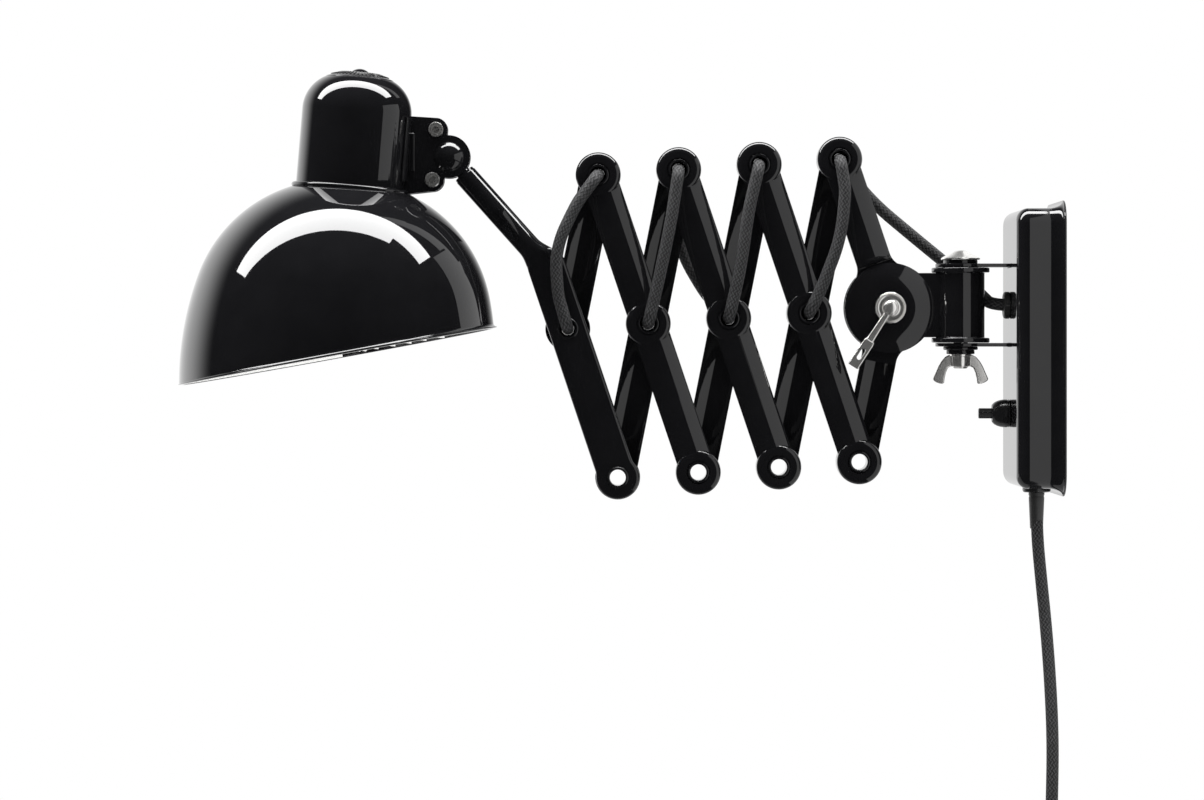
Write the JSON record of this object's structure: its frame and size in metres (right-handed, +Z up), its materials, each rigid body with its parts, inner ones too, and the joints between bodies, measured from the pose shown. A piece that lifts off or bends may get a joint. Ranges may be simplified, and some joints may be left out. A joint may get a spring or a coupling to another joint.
{
  "type": "adjustable wall lamp",
  "caption": "Wall lamp on a folding lattice arm: a wall box with a hinged clamp, a scissor linkage with a woven cord, and a spun shade on a ball joint.",
  "frame": {"origin": "middle of the wall box on the wall plane", "axes": "+Z up, +X into the wall, the lamp stands out towards -X and is seen from -Y"},
  "size_m": [0.5747, 0.2131, 0.6258],
  "materials": {
    "black_enamel": "glossy black stove enamel",
    "black_steel": "glossy black paint on pressed steel",
    "black_shade": "spun aluminium, glossy black outside, white inside",
    "bright_steel": "bright nickel plating",
    "steel": "plain zinc-plated steel",
    "black_rubber": "smooth black rubber",
    "black_plastic": "glossy moulded black plastic",
    "white_ceramic": "glazed white porcelain",
    "bulb_glass": "frosted white glass"
  },
  "bodies": {
    "wall": {"wall_plate": "steel", "wall_box": "black_enamel", "cover_screws": "steel", "box_grommet": "black_rubber", "cord_gland": "black_plastic", "switch_collar": "black_plastic", "switch_body": "black_plastic", "terminal_block": "black_plastic", "hinge_bracket": "black_steel", "hinge_bolt": "bright_steel", "hinge_washers": "black_steel", "cord_swivel": "black_rubber", "mains_cord": "black_rubber", "cord_coil": "black_rubber", "cord_tie": "black_rubber", "plug": "black_rubber", "plug_pins": "bright_steel"},
    "button": {"switch_button": "black_plastic"},
    "wing": {"wing_nut": "bright_steel"},
    "hinge": {"hinge_barrel": "black_steel", "hinge_cheek_front": "black_steel", "hinge_cheek_rear": "black_steel", "cord_tilt": "black_rubber"},
    "clamp": {"clamp_bolt": "bright_steel", "clamp_washer": "bright_steel", "cord_swing": "black_rubber"},
    "lever": {"clamp_lever": "bright_steel"},
    "front_disc_link": {"front_disc_bar": "black_steel", "disc_bar_rivet": "black_steel"},
    "rear_disc_link": {"rear_disc_bar": "black_steel"},
    "rear_link_4": {"rear_bar_4": "black_steel", "cord_front_4": "black_rubber"},
    "front_link_3": {"front_bar_3": "black_steel", "front_bar_3_rivets": "black_steel", "cord_rear_3": "black_rubber"},
    "rear_link_3": {"rear_bar_3": "black_steel", "cord_front_3": "black_rubber"},
    "front_link_2": {"front_bar_2": "black_steel", "front_bar_2_rivets": "black_steel", "cord_rear_2": "black_rubber"},
    "rear_link_2": {"rear_bar_2": "black_steel", "cord_front_2": "black_rubber"},
    "front_link_1": {"front_bar_1": "black_steel", "front_bar_1_rivets": "black_steel", "cord_rear_1": "black_rubber"},
    "rear_link_1": {"rear_half_bar": "black_steel", "cord_front_1": "black_rubber"},
    "arm": {"head_arm": "black_steel", "head_arm_rivets": "black_steel", "arm_lead": "black_rubber"},
    "ball": {"ball_stud": "black_steel"},
    "head": {"clamp_shell_front": "black_steel", "clamp_shell_rear": "black_steel", "shell_screws": "bright_steel", "neck_cup": "black_enamel", "neck_cap": "black_enamel", "shade": "black_shade", "lampholder": "white_ceramic", "bulb": "bulb_glass", "head_lead": "black_rubber"}
  },
  "joints": [
    {"name": "swivel", "type": "hinge", "parent": "wall", "child": "hinge", "pos_m": [-0.0632, 0, 0.0283], "axis": [0, 0, 1], "range_deg": [-80, 80], "deforming": ["cord_swivel"]},
    {"name": "tilt", "type": "hinge", "parent": "hinge", "child": "clamp", "pos_m": [-0.11, 0, 0.0265], "axis": [0, 1, 0], "range_deg": [-18, 30], "deforming": ["cord_tilt"]},
    {"name": "extend", "type": "hinge", "parent": "clamp", "child": "front_disc_link", "pos_m": [-0.11, 0, 0.0265], "axis": [0, -1, 0], "range_deg": [-2.2, 30.1], "deforming": ["cord_swing"]},
    {"name": "rear_disc_turn", "type": "hinge", "parent": "clamp", "child": "rear_disc_link", "pos_m": [-0.11, 0, 0.0265], "axis": [0, 1, 0], "range_deg": [-2.2, 30.1]},
    {"name": "top_pivot_4", "type": "hinge", "parent": "front_disc_link", "child": "rear_link_4", "pos_m": [-0.14269, 0, 0.12365], "axis": [0, 1, 0], "range_deg": [-4.4, 60.2]},
    {"name": "middle_pivot_4", "type": "hinge", "parent": "rear_link_4", "child": "front_link_3", "pos_m": [-0.1626, 0, 0.0231], "axis": [0, -1, 0], "range_deg": [-4.4, 60.2]},
    {"name": "top_pivot_3", "type": "hinge", "parent": "front_link_3", "child": "rear_link_3", "pos_m": [-0.1953, 0, 0.12024], "axis": [0, 1, 0], "range_deg": [-4.4, 60.2]},
    {"name": "middle_pivot_3", "type": "hinge", "parent": "rear_link_3", "child": "front_link_2", "pos_m": [-0.2152, 0, 0.0197], "axis": [0, -1, 0], "range_deg": [-4.4, 60.2]},
    {"name": "top_pivot_2", "type": "hinge", "parent": "front_link_2", "child": "rear_link_2", "pos_m": [-0.2479, 0, 0.11684], "axis": [0, 1, 0], "range_deg": [-4.4, 60.2]},
    {"name": "middle_pivot_2", "type": "hinge", "parent": "rear_link_2", "child": "front_link_1", "pos_m": [-0.26781, 0, 0.0163], "axis": [0, -1, 0], "range_deg": [-4.4, 60.2]},
    {"name": "top_pivot_1", "type": "hinge", "parent": "front_link_1", "child": "rear_link_1", "pos_m": [-0.3005, 0, 0.11344], "axis": [0, 1, 0], "range_deg": [-4.4, 60.2]},
    {"name": "middle_pivot_1", "type": "hinge", "parent": "rear_link_1", "child": "arm", "pos_m": [-0.32041, 0, 0.01289], "axis": [0, -1, 0], "range_deg": [-4.4, 60.2]},
    {"name": "head_swivel", "type": "hinge", "parent": "arm", "child": "ball", "pos_m": [-0.39798, -0.00475, 0.12506], "axis": [-0.6665, 0, 0.7455], "range_deg": [-90, 90]},
    {"name": "head_tilt", "type": "hinge", "parent": "ball", "child": "head", "pos_m": [-0.39798, -0.00475, 0.12506], "axis": [0, 1, 0], "range_deg": [-10, 75]},
    {"name": "lever_turn", "type": "hinge", "parent": "clamp", "child": "lever", "pos_m": [-0.11, 0, 0.0265], "axis": [0, 1, 0], "range_deg": [-50, 30]},
    {"name": "wing_turn", "type": "hinge", "parent": "wall", "child": "wing", "pos_m": [-0.0632, 0, 0], "axis": [0, 0, 1], "range_deg": [-180, 180]},
    {"name": "button_press", "type": "slide", "parent": "wall", "child": "button", "axis": [1, 0, 0], "range_m": [0, 0.003], "stiffness_N_per_m": 300, "springref_m": -0.001}
  ],
  "couplings": [
    {"joint": "rear_disc_turn", "follows": "extend", "ratio": 1},
    {"joint": "top_pivot_4", "follows": "extend", "ratio": 2},
    {"joint": "middle_pivot_4", "follows": "extend", "ratio": 2},
    {"joint": "top_pivot_3", "follows": "extend", "ratio": 2},
    {"joint": "middle_pivot_3", "follows": "extend", "ratio": 2},
    {"joint": "top_pivot_2", "follows": "extend", "ratio": 2},
    {"joint": "middle_pivot_2", "follows": "extend", "ratio": 2},
    {"joint": "top_pivot_1", "follows": "extend", "ratio": 2},
    {"joint": "middle_pivot_1", "follows": "extend", "ratio": 2}
  ]
}
